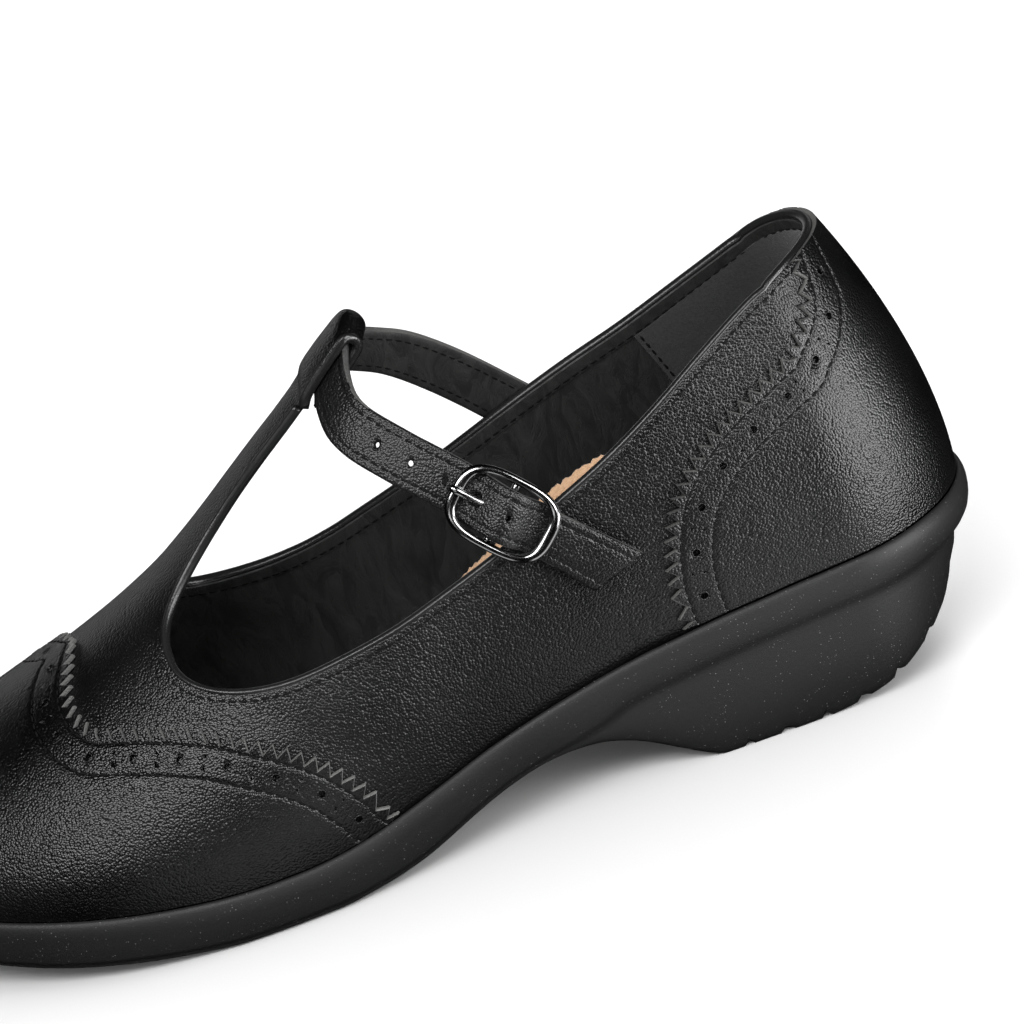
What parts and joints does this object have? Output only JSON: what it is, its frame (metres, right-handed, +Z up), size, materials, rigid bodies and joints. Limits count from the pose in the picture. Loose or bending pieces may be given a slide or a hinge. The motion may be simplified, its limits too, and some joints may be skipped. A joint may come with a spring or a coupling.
{
  "type": "womens t-strap shoe",
  "caption": "Left women's T-bar mary jane with an open hollow leather upper, wing toe cap, heel counter, buckled instep strap and a low moulded wedge sole.",
  "frame": {"origin": "on the floor under the middle of the shoe's box", "axes": "+X from the heel to the toe, +Y to the wearer's left (the outer side of this left shoe), +Z up"},
  "size_m": [0.254, 0.0908, 0.1087],
  "materials": {
    "sole_rubber": "matte moulded black rubber with fine pale specks",
    "upper_leather": "black fine-pebbled leather with a soft sheen",
    "insole_leather": "tan suede-like leather",
    "overlay_leather": "black fine-pebbled leather with punched holes and pinked edges",
    "strap_leather": "black stitched leather strap",
    "buckle_metal": "polished gunmetal"
  },
  "bodies": {
    "root": {"sole": "sole_rubber", "upper": "upper_leather", "insole": "insole_leather", "toe_cap": "overlay_leather", "heel_counter": "overlay_leather", "strap": "strap_leather", "buckle_frame": "buckle_metal", "buckle_prong": "buckle_metal", "buckle_tab": "strap_leather"}
  },
  "joints": []
}
